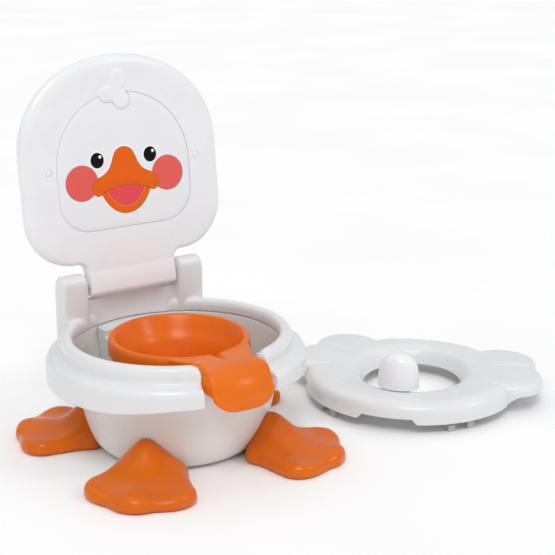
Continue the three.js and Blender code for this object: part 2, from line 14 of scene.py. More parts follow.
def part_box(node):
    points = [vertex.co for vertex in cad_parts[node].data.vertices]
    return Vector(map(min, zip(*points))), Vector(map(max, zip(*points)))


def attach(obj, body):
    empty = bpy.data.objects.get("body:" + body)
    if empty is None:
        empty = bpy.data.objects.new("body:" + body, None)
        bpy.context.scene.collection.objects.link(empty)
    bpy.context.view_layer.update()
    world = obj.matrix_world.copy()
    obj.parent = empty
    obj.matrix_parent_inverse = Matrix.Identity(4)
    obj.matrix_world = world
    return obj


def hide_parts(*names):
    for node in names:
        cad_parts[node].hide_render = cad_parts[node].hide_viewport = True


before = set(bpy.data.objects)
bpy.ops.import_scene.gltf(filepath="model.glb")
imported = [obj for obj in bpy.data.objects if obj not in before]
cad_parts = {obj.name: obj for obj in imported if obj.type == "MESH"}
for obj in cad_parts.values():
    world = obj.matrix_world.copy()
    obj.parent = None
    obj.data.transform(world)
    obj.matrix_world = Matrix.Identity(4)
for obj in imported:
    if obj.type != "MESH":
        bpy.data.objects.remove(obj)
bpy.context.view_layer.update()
MM = 0.001
DEG = math.pi / 180

# ---- Sizes shared with the CAD part --------------------------------------------------------------------
OVAL, OVAL_SHIFT = 0.96, 5.0
BOWL_TOP = 115.6
MOUTH_HALF_ANGLE = 18.0
HINGE_Y, HINGE_Z = 107.0, 162.0
LID_LEAN = 6.3
POT_OVAL = 1.05
RING_AT, RING_TURN = (296.0, -36.0), -53.0
FEET = {"front_left": -47, "front_right": 38, "rear_left": -131, "rear_right": 124}


# ---- Mesh building -------------------------------------------------------------------------------------
def smoothstep(low, high, value):
    share = np.clip((np.asarray(value, float) - low) / (high - low), 0, 1)
    return share * share * (3 - 2 * share)


def make_object(name, vertices, faces):
    """A smooth-shaded mesh object from vertices in millimetres."""
    mesh = bpy.data.meshes.new(name)
    mesh.from_pydata((np.asarray(vertices, float) * MM).tolist(), [], [list(f) for f in faces])
    mesh.validate()
    work = bmesh.new()
    work.from_mesh(mesh)
    bmesh.ops.remove_doubles(work, verts=work.verts, dist=1e-6)
    bmesh.ops.recalc_face_normals(work, faces=work.faces)
    work.to_mesh(mesh)
    work.free()
    mesh.shade_smooth()
    obj = bpy.data.objects.new(name, mesh)
    bpy.context.scene.collection.objects.link(obj)
    return obj


def grid_faces(rows, columns, wrap_rows=False, wrap_columns=True):
    faces = []
    for r in range(rows if wrap_rows else rows - 1):
        below = (r + 1) % rows
        for c in range(columns if wrap_columns else columns - 1):
            beside = (c + 1) % columns
            faces.append((r * columns + c, r * columns + beside, below * columns + beside, below * columns + c))
    return faces


def rounded(points, radius, closed=False, steps=5):
    """A polyline with each corner replaced by a small curve; radius is one number or one per corner."""
    points = [np.array(p, float) for p in points]
    count = len(points)
    radii = [radius] * count if np.isscalar(radius) else list(radius)
    out = []
    for i, point in enumerate(points):
        if not closed and i in (0, count - 1):
            out.append(point)
            continue
        before, after = points[i - 1] - point, points[(i + 1) % count] - point
        reach = min(radii[i], 0.48 * np.linalg.norm(before), 0.48 * np.linalg.norm(after))
        if reach < 1e-6:
            out.append(point)
            continue
        start = point + before / np.linalg.norm(before) * reach
        end = point + after / np.linalg.norm(after) * reach
        for k in range(steps + 1):
            t = k / steps
            out.append((1 - t) ** 2 * start + 2 * t * (1 - t) * point + t * t * end)
    return np.array(out)


def refined(points, spacing, closed=False):
    """Extra points along a polyline, so that no step is longer than spacing."""
    ends = np.vstack([points[1:], points[:1]]) if closed else points[1:]
    starts = points if closed else points[:-1]
    out = []
    for a, b in zip(starts, ends):
        pieces = max(1, math.ceil(np.linalg.norm(b - a) / spacing))
        out.extend(a + (b - a) * k / pieces for k in range(pieces))
    if not closed:
        out.append(points[-1])
    return np.array(out)


def swept(profile, turns, reshape=None, closed_profile=True, closed_turn=True):
    """Vertices and faces of a [radius, height] profile turned through the given angles from the front."""
    rows = []
    for turn in turns:
        radius, height = profile[:, 0], profile[:, 1]
        rows.append(np.column_stack([radius * math.sin(turn), -radius * math.cos(turn), height]))
    vertices = np.vstack(rows)
    if reshape is not None:
        vertices = reshape(vertices)
    count = len(profile)
    faces = grid_faces(len(turns), count, closed_turn, closed_profile)
    if not closed_turn and closed_profile:
        faces.append(tuple(range(count)))
        faces.append(tuple(reversed(range((len(turns) - 1) * count, len(turns) * count))))
    return vertices, faces


def full_turn(segments):
    return [2 * math.pi * k / segments for k in range(segments)]


def lathe(name, profile, segments=128, reshape=None, closed=False):
    return make_object(name, *swept(np.asarray(profile, float), full_turn(segments), reshape, closed))


def ovalise(vertices):
    return vertices * [1, OVAL, 1] + [0, OVAL_SHIFT, 0]


def moved(obj, matrix):
    obj.data.transform(matrix)
    obj.data.update()
    return obj


def shift_mm(x, y, z):
    return Matrix.Translation(Vector((x, y, z)) * MM)


def box_object(name, low, high):
    corners = [[(low, high)[(k >> axis) & 1][axis] for axis in range(3)] for k in range(8)]
    faces = [(0, 2, 3, 1), (4, 5, 7, 6), (0, 1, 5, 4), (2, 6, 7, 3), (0, 4, 6, 2), (1, 3, 7, 5)]
    return make_object(name, corners, faces)


def stacked(name, rows):
    """A closed solid from equal loops of vertices, one after another."""
    count = len(rows[0])
    last = (len(rows) - 1) * count
    faces = grid_faces(len(rows), count) + [tuple(range(count)), tuple(reversed(range(last, last + count)))]
    return make_object(name, np.vstack(rows), faces)


def prism(name, outline, place):
    """A closed outline carried between two ends; place(points, end) gives the vertices for end 0 and 1."""
    outline = np.asarray(outline, float)
    return stacked(name, [place(outline, 0), place(outline, 1)])


def baked(obj):
    """Applies an object's modifiers to its mesh."""
    graph = bpy.context.evaluated_depsgraph_get()
    mesh = bpy.data.meshes.new_from_object(obj.evaluated_get(graph))
    obj.modifiers.clear()
    old, obj.data = obj.data, mesh
    bpy.data.meshes.remove(old)
    return obj


def cut_with(obj, *cutters):
    for cutter in cutters:
        step = obj.modifiers.new("cut", "BOOLEAN")
        step.operation, step.solver, step.object = "DIFFERENCE", "EXACT", cutter
        baked(obj)
        bpy.data.objects.remove(cutter)
    return obj


def joined(name, *objs):
    """One object that holds the meshes of several."""
    work = bmesh.new()
    for obj in objs:
        work.from_mesh(obj.data)
        bpy.data.objects.remove(obj)
    mesh = bpy.data.meshes.new(name)
    work.to_mesh(mesh)
    work.free()
    obj = bpy.data.objects.new(name, mesh)
    bpy.context.scene.collection.objects.link(obj)
    return obj


def relaxed(obj, rounds, keep=None):
    """Evens out a mesh without shrinking it; keep(vertices) gives how much of each move is made."""
    mesh = obj.data
    count = len(mesh.vertices)
    places = np.empty(count * 3)
    mesh.vertices.foreach_get("co", places)
    places = places.reshape(-1, 3)
    edges = np.empty(len(mesh.edges) * 2, int)
    mesh.edges.foreach_get("vertices", edges)
    a, b = edges.reshape(-1, 2).T
    near = np.bincount(a, minlength=count) + np.bincount(b, minlength=count)
    near = np.maximum(near, 1)[:, None]
    share = 1.0 if keep is None else keep(places / MM)[:, None]
    for k in range(rounds * 2):
        total = np.empty_like(places)
        for axis in range(3):
            total[:, axis] = np.bincount(a, places[b, axis], count) + np.bincount(b, places[a, axis], count)
        places += (total / near - places) * (0.5 if k % 2 == 0 else -0.52) * share
    mesh.vertices.foreach_set("co", places.ravel())
    mesh.update()
    return obj


def fused(obj, voxel, rounds=12):
    """Overlapping solids become one skin with soft fillets where they meet."""
    step = obj.modifiers.new("fuse", "REMESH")
    step.mode, step.voxel_size = "VOXEL", voxel * MM
    baked(obj)
    relaxed(obj, rounds)
    obj.data.shade_smooth()
    return obj


def cad_copy(name, node):
    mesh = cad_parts[node].data.copy()
    mesh.name = name
    mesh.materials.clear()
    work = bmesh.new()
    work.from_mesh(mesh)
    bmesh.ops.remove_doubles(work, verts=work.verts, dist=1e-6)
    work.to_mesh(mesh)
    work.free()
    obj = bpy.data.objects.new(name, mesh)
    bpy.context.scene.collection.objects.link(obj)
    return obj


# ---- Materials -----------------------------------------------------------------------------------------
def srgb(red, green, blue):
    def linear(value):
        value /= 255
        return value / 12.92 if value <= 0.04045 else ((value + 0.055) / 1.055) ** 2.4

    return (linear(red), linear(green), linear(blue), 1.0)


class Nodes:
    """Short names for building one material."""

    def __init__(self, name):
        self.material = bpy.data.materials.new(name)
        self.material.use_nodes = True
        self.tree = self.material.node_tree
        self.shader = self.tree.nodes["Principled BSDF"]
        self.where = self.tree.nodes.new("ShaderNodeTexCoord").outputs["Object"]

    def noise(self, scale, detail=2.0, rough=0.5):
        node = self.tree.nodes.new("ShaderNodeTexNoise")
        node.inputs["Scale"].default_value = scale
        node.inputs["Detail"].default_value = detail
        node.inputs["Roughness"].default_value = rough
        self.tree.links.new(self.where, node.inputs["Vector"])
        return node.outputs["Fac"]

    def ranged(self, value, low, high, to_low, to_high):
        node = self.tree.nodes.new("ShaderNodeMapRange")
        node.interpolation_type = "SMOOTHSTEP"
        self.tree.links.new(value, node.inputs["Value"])
        for socket, number in zip(("From Min", "From Max", "To Min", "To Max"), (low, high, to_low, to_high)):
            node.inputs[socket].default_value = number
        return node.outputs["Result"]

    def mixed(self, share, first, second):
        node = self.tree.nodes.new("ShaderNodeMix")
        node.data_type = "RGBA"
        self.tree.links.new(share, node.inputs[0])
        for socket, value in ((node.inputs[6], first), (node.inputs[7], second)):
            if isinstance(value, tuple):
                socket.default_value = value
            else:
                self.tree.links.new(value, socket)
        return node.outputs[2]

    def maths(self, operation, first, second):
        node = self.tree.nodes.new("ShaderNodeMath")
        node.operation = operation
        for socket, value in zip(node.inputs, (first, second)):
            if isinstance(value, (int, float)):
                socket.default_value = value
            else:
                self.tree.links.new(value, socket)
        return node.outputs[0]

    def pointed(self, low, high):
        node = self.tree.nodes.new("ShaderNodeNewGeometry")
        return self.ranged(node.outputs["Pointiness"], low, high, 0.0, 1.0)

    def bump(self, height, strength, distance, normal=None):
        node = self.tree.nodes.new("ShaderNodeBump")
        node.inputs["Strength"].default_value = strength
        node.inputs["Distance"].default_value = distance
        self.tree.links.new(height, node.inputs["Height"])
        if normal is not None:
            self.tree.links.new(normal, node.inputs["Normal"])
        return node.outputs["Normal"]

    def into(self, socket, value):
        self.tree.links.new(value, self.shader.inputs[socket])


def plastic(name, colour, mottle_and_shade_colour, rough, grain=0.10, specular=0.5, metal=0.0):
    """Injection-moulded plastic: faint flow marks, a fine satin grain, a painted highlight on sharp outer edges
    (which are also a little smoother), painted shade in hollows.
    """
    made = Nodes(name)
    cloud = made.noise(22.0, 3.0, 0.55)
    streak = made.noise(160.0, 2.0, 0.6)
    grit = made.noise(1900.0, 2.0, 0.6)
    # Sharp outer edges: a painted highlight in the colour, and slightly lower roughness.
    edge_highlight_and_rub = made.pointed(0.53, 0.60)
    # Hollows: painted shade, mixed towards the second, darker colour.
    painted_hollow_shade = made.pointed(0.49, 0.44)
    # The second colour serves both the random mottle and the painted shade in hollows.
    tone = made.mixed(made.ranged(cloud, 0.35, 0.7, 0.0, 0.55), colour, mottle_and_shade_colour)
    tone = made.mixed(made.ranged(streak, 0.55, 0.8, 0.0, 0.16), tone, mottle_and_shade_colour)
    painted_highlight_colour = tuple(min(1.0, c * 1.06 + 0.01) for c in colour[:3]) + (1.0,)
    tone = made.mixed(made.maths("MULTIPLY", edge_highlight_and_rub, 0.5), tone, painted_highlight_colour)
    tone = made.mixed(made.maths("MULTIPLY", painted_hollow_shade, 0.35), tone, mottle_and_shade_colour)
    made.into("Base Color", tone)
    spread = made.ranged(cloud, 0.3, 0.75, rough - 0.045, rough + 0.05)
    spread = made.maths("ADD", spread, made.ranged(grit, 0.4, 0.7, -0.015, 0.03))
    spread = made.maths("SUBTRACT", spread, made.maths("MULTIPLY", edge_highlight_and_rub, 0.05))
    made.into("Roughness", spread)
    soft = made.bump(made.noise(55.0, 2.0, 0.5), 0.05, 0.0006)
    made.into("Normal", made.bump(grit, grain, 0.00006, soft))
    made.shader.inputs["Specular IOR Level"].default_value = specular
    made.shader.inputs["Metallic"].default_value = metal
    return made.material


WHITE = plastic("white_plastic", srgb(238, 239, 242), srgb(232, 233, 238), 0.30)
# Painted shade: a darker copy of the white plastic for the frame, pot rest, pot clips and seat ring.
SHADED_WHITE = plastic("white_plastic_shaded", srgb(229, 230, 231), srgb(222, 223, 225), 0.30)
BOWL_WHITE = plastic("bowl_white", srgb(232, 231, 227), srgb(226, 224, 219), 0.26)
ORANGE_POT = plastic("orange_pot", srgb(232, 112, 8), srgb(222, 101, 5), 0.30, specular=0.30)
ORANGE_FEET = plastic("orange_feet", srgb(222, 106, 5), srgb(208, 93, 3), 0.26, specular=0.30)
PANEL_WHITE = plastic("face_print", srgb(236, 237, 242), srgb(233, 234, 240), 0.42, 0.06, 0.4)
PRINT_HALO = plastic("print_halo", srgb(250, 250, 251), srgb(247, 247, 249), 0.45, 0.05, 0.4)
PRINT_BLACK = plastic("print_black", srgb(8, 6, 9), srgb(12, 10, 13), 0.30, 0.05, 0.15)
PRINT_CORAL = plastic("print_coral", srgb(230, 98, 90), srgb(224, 90, 84), 0.45, 0.05, 0.2)
PRINT_CORAL_EDGE = plastic("print_coral_edge", srgb(180, 132, 128), srgb(172, 122, 120), 0.45, 0.05, 0.2)
PRINT_ORANGE = plastic("print_orange", srgb(232, 100, 4), srgb(225, 93, 3), 0.42, 0.05, 0.2)
PRINT_ORANGE_EDGE = plastic("print_orange_edge", srgb(196, 84, 22), srgb(186, 78, 20), 0.45, 0.05, 0.2)
PRINT_PINK = plastic("print_pink", srgb(228, 80, 84), srgb(220, 72, 78), 0.45, 0.05, 0.2)
PRINT_PINK_LIGHT = plastic("print_pink_light", srgb(240, 132, 84), srgb(236, 124, 78), 0.45, 0.05, 0.2)
CLIP_GREY = plastic("clip_grey", srgb(196, 190, 180), srgb(180, 174, 164), 0.45)
PAD_RUBBER = plastic("pad_rubber", srgb(56, 56, 58), srgb(44, 44, 46), 0.80, 0.30, 0.3)
SCREW_STEEL = plastic("screw_steel", srgb(196, 198, 203), srgb(170, 172, 178), 0.30, 0.08, 0.5, 1.0)


def finished(obj, material, body, slot, *nodes):
    obj.data.materials.clear()
    obj.data.materials.append(material)
    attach(obj, body)
    if nodes:
        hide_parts(*nodes)
    return obj


# ---- Bowl ----------------------------------------------------------------------------------------------
BOWL_OUTSIDE = [
    (0, 0), (72, 0), (84, 4), (93, 13), (99, 27), (104, 45), (108, 65), (112, 85), (116, 99.5), (119.6, 102),
    (120, 106), (120, 112), (117.5, BOWL_TOP),
]
BOWL_INSIDE = [
    (113, BOWL_TOP), (111, 100), (107.5, 84), (104, 66), (100, 46), (95, 29), (89, 16), (81, 8), (70, 4.5),
    (0, 4.5),
]

RIB_AT, RIB_HALF = 14, 1.9  # two ribs under the pot's handle, left and right of the middle


def bowl():
    radii = [0, 3, 12, 12, 20, 20, 20, 20, 2, 1.5, 4, 3, 2.4] + [2.2] + [14] * 9
    profile = rounded(BOWL_OUTSIDE + BOWL_INSIDE, radii)
    shell = lathe("bowl_shell", refined(profile, 4), 192, ovalise)
    rib_side = [(-104.5, 96), (-90.6, BOWL_TOP - 1.2), (-92.4, BOWL_TOP - 0.4), (-104.5, BOWL_TOP - 0.6)]
    outline = rounded(rib_side, 0.8, True)
    ribs = []
    for side in (-1, 1):

        def place(points, end, side=side):
            x = side * RIB_AT + (RIB_HALF if end else -RIB_HALF)
            return np.column_stack([np.full(len(points), x), points[:, 0], points[:, 1]])

        ribs.append(prism("rib", outline, place))
    whole = joined("bowl", shell, *ribs)
    whole.data.shade_smooth()
    finished(whole, BOWL_WHITE, "base", "bowl_white", "base_bowl")


bowl()

# ---- Frame ---------------------------------------------------------------------------------------------
FRAME_SKIN = [
    (112.2, 115.7), (115.2, 115.7), (115.5, 124), (119, 126.8), (123, 123), (123.2, 110.4), (138.5, 106),
    (138.6, 82), (142, 82), (142, 105.5), (139, 110.2), (129, 112), (126.5, 114.5), (126.5, 123.5),
    (124, 128.5), (119, 130.3), (114.2, 129), (112.2, 124),
]
FRAME_BLOCK = [
    (112.2, 115.7), (121.4, 115.7), (121.4, 82), (142, 82), (142, 105.5), (139, 110.2), (129, 112),
    (126.5, 114.5), (126.5, 123.5), (124, 128.5), (119, 130.3), (114.2, 129), (112.2, 124),
]
SKIRT_LOW, SKIRT_RISE, CAP_ANGLE = 82, 8, 2.2
COLLAR_LOW, COLLAR_END_DROP, LEDGE_END_DROP = 116.4, 8.5, 3
END_ROUNDING_ANGLE = 6.5
TOWER_INNER, TOWER_OUTER, TOWER_TOP = 57.5, 89.5, HINGE_Z + 16
TOWER_FRONT, TOWER_BACK, TOWER_LOW = HINGE_Y - 12, HINGE_Y + 11, 100
BRIDGE_FRONT, BRIDGE_TOP = HINGE_Y - 3, HINGE_Z - 15


def frame_shape(vertices):
    """Lifts the skirt's edge beside the mouth, rounds the two ends down and makes the frame oval."""
    turn = np.degrees(np.abs(np.arctan2(vertices[:, 0], -vertices[:, 1])))
    past_bowl = np.hypot(vertices[:, 0], vertices[:, 1]) > 122
    rise = SKIRT_RISE * (1 - smoothstep(MOUTH_HALF_ANGLE, MOUTH_HALF_ANGLE + 50, turn))
    vertices[:, 2] += np.where(vertices[:, 2] < SKIRT_LOW + 5, rise, 0)
    inside = np.clip((turn - MOUTH_HALF_ANGLE) / END_ROUNDING_ANGLE, 0, 1)
    drop = 1 - np.sqrt(np.maximum(0, 1 - (1 - inside) ** 2))
    vertices[:, 2] -= COLLAR_END_DROP * drop * np.clip((vertices[:, 2] - COLLAR_LOW) / 14, 0, 1)
    on_ledge = (vertices[:, 2] < 116) * past_bowl
    vertices[:, 2] -= LEDGE_END_DROP * drop * np.clip((vertices[:, 2] - 100) / 10, 0, 1) * on_ledge
    return ovalise(vertices)


def tower(side):
    """One hinge tower, its two side edges rounded by scaling the outline towards its middle."""
    front, back, steps, edge, reach = TOWER_FRONT, TOWER_BACK, 17, 4.0, 19
    outline = [(front, TOWER_LOW), (back, TOWER_LOW), (back, TOWER_TOP), (front, TOWER_TOP)]
    outline = rounded(outline, [1, 1, 11, 11], True, 10)
    near, far = side * TOWER_INNER, side * TOWER_OUTER
    half = (TOWER_OUTER - TOWER_INNER) / 2 / edge
    middle = outline.mean(0)
    rows = []
    for t in np.linspace(0, 1, steps):
        inset = edge * (1 - math.sqrt(max(0.0, 1 - max(0.0, abs(2 * t - 1) * half - half + 1) ** 2)))
        ring = middle + (outline - middle) * (1 - inset / reach)
        rows.append(np.column_stack([np.full(len(ring), near + (far - near) * t), ring[:, 0], ring[:, 1]]))
    return stacked("tower", rows)


def upper_frame():
    skin = refined(rounded(FRAME_SKIN, 2.0, True, 4), 3, True)
    block = refined(rounded(FRAME_BLOCK, 2.0, True, 4), 3, True)
    start, stop = MOUTH_HALF_ANGLE * DEG, (360 - MOUTH_HALF_ANGLE) * DEG
    turns = np.linspace(start, stop, 240)
    caps = [np.linspace(start, start + CAP_ANGLE * DEG, 4), np.linspace(stop - CAP_ANGLE * DEG, stop, 4)]
    pieces = [make_object("skin", *swept(skin, turns, frame_shape, True, False))]
    pieces += [make_object("cap", *swept(block, cap, frame_shape, True, False)) for cap in caps]
    pieces += [tower(-1), tower(1)]
    front, back, low, high = BRIDGE_FRONT, TOWER_BACK, TOWER_LOW, BRIDGE_TOP
    bridge = rounded([(front, low), (back, low), (back, high), (front, high)], 3, True)

    def place(points, end):
        x = TOWER_INNER + 2 if end else -TOWER_INNER - 2
        return np.column_stack([np.full(len(points), x), points[:, 0], points[:, 1]])

    pieces.append(prism("bridge", bridge, place))
    whole = joined("upper_frame_skin", *pieces)
    keep_out = [(0, 60), (121.0, 60), (121.0, 115.2), (112.0, 115.7), (112.0, 200), (0, 200)]
    fused(whole, 1.0, 4)
    cut_with(whole, lathe("room", keep_out, 160, ovalise))
    fused(whole, 0.9, 10)
    finished(whole, SHADED_WHITE, "base", "white_plastic", "upper_frame")


upper_frame()


def softened(name, node, voxel, rounds, material, body, slot):
    """A small CAD node with its corners worn soft."""
    piece = fused(cad_copy(name, node), voxel, rounds)
    finished(piece, material, body, slot, node)


softened("pot_rest_block", "pot_rest", 0.9, 8, SHADED_WHITE, "base", "white_plastic")
for where in ("left", "right"):
    softened(f"pot_clip_{where}_soft", f"pot_clip_{where}", 0.4, 6, SHADED_WHITE, "base", "white_plastic")
for where in ("front_left", "front_right", "rear_left", "rear_right"):
    softened(f"ring_clip_{where}_soft", f"ring_clip_{where}", 0.45, 5, CLIP_GREY, "ring", "clip_grey")


# ---- Feet ----------------------------------------------------------------------------------------------
FOOT_HALF_OUTLINE = [
    (186, 0), (184, 12), (177, 23), (173, 33), (167, 46), (156, 56), (142, 58), (124, 49), (104, 38), (86, 31),
]
FOOT_MIDDLE = 130.0
FOOT_FLAT, ANKLE_AT, ANKLE_HEIGHT, ANKLE_LENGTH, ANKLE_WIDTH = 15.5, 102, 30, 27, 25
ANKLE_LEAN = {"front_left": -7, "front_right": 7}
TOE_HEIGHT, TOE_SPACING = 2.2, 30
FOOT_TUCK = 1.2  # how far a foot's inner side reaches into the bowl's wall


def between(value, start, stop, first, second):
    return (stop - value) / (stop - start) * first + (value - start) / (stop - start) * second


def closed_spline(points, count):
    """A centripetal Catmull-Rom loop through the points, sampled evenly."""
    points = np.asarray(points, float)
    n = len(points)
    out = []
    for i in range(n):
        p = [points[(i + k) % n] for k in (-1, 0, 1, 2)]
        t = [0.0]
        for k in range(3):
            t.append(t[-1] + math.sqrt(np.linalg.norm(p[k + 1] - p[k])))
        for k in range(24):
            s = t[1] + (t[2] - t[1]) * k / 24
            a = [between(s, t[j], t[j + 1], p[j], p[j + 1]) for j in range(3)]
            b = [between(s, t[j], t[j + 2], a[j], a[j + 1]) for j in range(2)]
            out.append(between(s, t[1], t[2], b[0], b[1]))
    out = np.array(out)
    lengths = np.r_[0, np.cumsum(np.linalg.norm(np.vstack([out[1:], out[:1]]) - out, axis=1))]
    loop = np.vstack([out, out[:1]])
    marks = np.linspace(0, lengths[-1], count, endpoint=False)
    return np.column_stack([np.interp(marks, lengths, loop[:, k]) for k in range(2)])


def foot_height(x, y, lean):
    ankle = np.exp(-(((x - ANKLE_AT) / ANKLE_LENGTH) ** 2) - ((y - lean) / ANKLE_WIDTH) ** 2)
    toes = TOE_HEIGHT * np.cos(y / TOE_SPACING * math.pi) * smoothstep(120, 165, x)
    return FOOT_FLAT + toes + ANKLE_HEIGHT * ankle


def bowl_radius(z):
    levels = [p[1] for p in BOWL_OUTSIDE]
    return np.interp(z, levels, [p[0] for p in BOWL_OUTSIDE])


def foot(where, angle):
    right = [(x, -y) for x, y in FOOT_HALF_OUTLINE[1:]]
    count = 150
    outline = closed_spline(list(reversed(right)) + FOOT_HALF_OUTLINE, count)
    rings = [(s, 0.0) for s in np.linspace(0.0, 0.9, 10)]
    rings += [(0.955, 0.0), (0.985, 0.05), (1.0, 0.16), (1.003, 0.3)]
    rings += [(0.999, 0.46), (0.985, 0.62), (0.962, 0.76), (0.93, 0.87), (0.885, 0.945), (0.83, 0.985)]
    rings += [(s, 1.0) for s in np.linspace(0.77, 0.0, 22)]
    rows = []
    lean = ANKLE_LEAN.get(where, 0)
    for share, level in rings:
        x = FOOT_MIDDLE + (outline[:, 0] - FOOT_MIDDLE) * share
        y = outline[:, 1] * share
        rows.append(np.column_stack([x, y, 1 + level * (foot_height(x, y, lean) - 1)]))
    vertices = np.vstack(rows)
    turn = (angle - 90) * DEG
    x = vertices[:, 0] * math.cos(turn) - vertices[:, 1] * math.sin(turn)
    y = vertices[:, 0] * math.sin(turn) + vertices[:, 1] * math.cos(turn)
    away = np.hypot(x, (y - OVAL_SHIFT) / OVAL)
    limit = bowl_radius(vertices[:, 2]) - FOOT_TUCK
    push = np.where(away < limit, limit / np.maximum(away, 1e-6), 1)
    x, y = x * push, (y - OVAL_SHIFT) * push + OVAL_SHIFT
    skin = np.column_stack([x, y, vertices[:, 2]])
    skin = make_object(f"foot_{where}_skin", skin, grid_faces(len(rings), count))
    finished(skin, ORANGE_FEET, "base", "orange_feet", f"foot_{where}")

    pad_low, pad_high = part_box(f"foot_pad_{where}")
    middle = (pad_low + pad_high) / 2
    profile = rounded([(0, 0), (8.4, 0), (9, 1), (9, 2.4), (0, 2.4)], [0, 1, 0.5, 0.3, 0], steps=3)
    pad = moved(lathe(f"foot_pad_{where}_round", profile, 40), Matrix.Translation((middle.x, middle.y, 0)))
    finished(pad, PAD_RUBBER, "base", "pad_rubber", f"foot_pad_{where}")


for where, angle in FEET.items():
    foot(where, angle)


# ---- Screws, pins --------------------------------------------------------------------------------------
def along(axis, place):
    """Turns something made along +Z so that it lies along an axis, at a place in metres."""
    return Matrix.Translation(place) @ Vector(axis).to_track_quat("Z", "Y").to_matrix().to_4x4()


def foot_screw(where, angle):
    low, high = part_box(f"foot_screw_{where}")
    middle = (low + high) / 2
    outward = Vector((math.sin(angle * DEG), -math.cos(angle * DEG), 0))
    profile = [(0, -8.4), (3.0, -8.2), (4.5, -6.2), (4.5, -5.5), (2.3, -5.3), (2.3, 8.2), (0, 8.4)]
    body = lathe(f"foot_screw_{where}_pan", rounded(profile, 0.5, steps=3), 40)
    slot = box_object("slot", (-0.6, -4, -9), (0.6, 4, -7.2))
    cross_slot = box_object("slot", (-4, -0.6, -9), (4, 0.6, -7.2))
    cut_with(body, slot, cross_slot)
    moved(body, along(outward, middle))
    body.data.shade_smooth()
    finished(body, SCREW_STEEL, "base", "screw_steel", f"foot_screw_{where}")


for where, angle in FEET.items():
    foot_screw(where, angle)
for where, side in (("left", -1), ("right", 1)):
    profile = rounded([(0, 46.2), (3.6, 46.2), (4, 47), (4, 69), (3.6, 69.8), (0, 69.8)], 0.3, steps=3)
    pin = lathe(f"hinge_pin_{where}_turned", profile, 40)
    moved(pin, along((side, 0, 0), Vector((0, HINGE_Y, HINGE_Z)) * MM))
    finished(pin, SCREW_STEEL, "base", "screw_steel", f"hinge_pin_{where}")


# ---- Lid -----------------------------------------------------------------------------------------------
LID_MATRIX = shift_mm(0, HINGE_Y, HINGE_Z) @ Matrix.Rotation(-LID_LEAN * DEG, 4, "X")
LID_HALF, LID_LOW, LID_HIGH, LID_CORNER = 122.5, 26, 252, 54
NECK_HALF = 56
FACE = -9.0
BUMPER_AT = (92, 132)
COVER_INSET = 9.4


def arc(cx, cz, radius, start, stop, steps=12):
    angles = np.radians(np.linspace(start, stop, steps))
    return [(cx + radius * math.cos(a), cz + radius * math.sin(a)) for a in angles]


def bezier(p0, p1, p2, p3, steps=28):
    out = []
    for t in np.linspace(0, 1, steps)[1:]:
        w = ((1 - t) ** 3, 3 * t * (1 - t) ** 2, 3 * t * t * (1 - t), t**3)
        out.append(tuple(sum(k * p[i] for k, p in zip(w, (p0, p1, p2, p3))) for i in range(2)))
    return out


def arched(half, low, high, corner, straight, lift, shoulder, bottom=()):
    """Right half of an arched outline from the middle of its bottom to the middle of its top, then mirrored."""
    right = list(bottom) + arc(half - corner, low + corner, corner, -90, 0, 14)
    right += bezier((half, straight), (half, lift), (half - shoulder, high), (0, high), 40)
    right.insert(len(right) - 39, (half, straight))
    left = [(-x, z) for x, z in reversed(right[:-1])]
    return np.array(right + left)


def evened(outline, spacing):
    loop = np.vstack([outline, outline[:1]])
    lengths = np.r_[0, np.cumsum(np.linalg.norm(np.diff(loop, axis=0), axis=1))]
    marks = np.linspace(0, lengths[-1], int(lengths[-1] / spacing), endpoint=False)
    return np.column_stack([np.interp(marks, lengths, loop[:, k]) for k in range(2)])


def normals_of(outline):
    """Outward normals of a closed outline that runs anticlockwise."""
    ahead = np.roll(outline, -1, 0) - np.roll(outline, 1, 0)
    outward = np.column_stack([ahead[:, 1], -ahead[:, 0]])
    return outward / np.linalg.norm(outward, axis=1)[:, None]


def slab(name, outline, rings, centre, cap_rings=14, share=None):
    """A plate from rings of [inset, y]; its first and last ring are capped towards the centre."""
    outward = normals_of(outline)
    if share is not None:
        outward = outward * share[:, None]
    rows = []
    for inset, y in rings:
        ring = outline - outward * inset
        rows.append(np.column_stack([ring[:, 0], np.full(len(ring), y), ring[:, 1]]))
    first, last = rows[0], rows[-1]
    middle_first = np.array([centre[0], first[0, 1], centre[1]])
    middle_last = np.array([centre[0], last[0, 1], centre[1]])
    inner = [middle_first + (first - middle_first) * s for s in np.linspace(0, 1, cap_rings)[:-1]]
    outer = [middle_last + (last - middle_last) * s for s in np.linspace(1, 0, cap_rings)[1:]]
    rows = inner + rows + outer
    return make_object(name, np.vstack(rows), grid_faces(len(rows), len(outline)))


def lid_outline():
    fillet = 9
    bottom = [(0, -8)] + arc(NECK_HALF - 12, 4, 12, -90, 0, 8)
    bottom += arc(NECK_HALF + fillet, LID_LOW - fillet, fillet, 180, 90, 10)
    return evened(arched(LID_HALF, LID_LOW, LID_HIGH, LID_CORNER, 148, 205, 48, bottom), 2.2)


def panel_outline(margin, spacing=1.6):
    return evened(arched(82 + margin, 62 - margin, 211 + margin, 36 + margin, 130, 178, 38), spacing)


TUFT = [(0.5, 225.5, 12), (-15, 209.5, 9.8), (3, 202, 10.8), (-4, 212, 8.5)]
TUFT_RISE = 1.1


def tuft_distance(x, z):
    """Distance outside the softly joined lobes of the tuft, negative inside."""
    gaps = [np.hypot(x - cx, z - cz) - radius for cx, cz, radius in TUFT]
    blend = 2.0
    return -blend * np.log(sum(np.exp(-gap / blend) for gap in gaps)) + 0.7


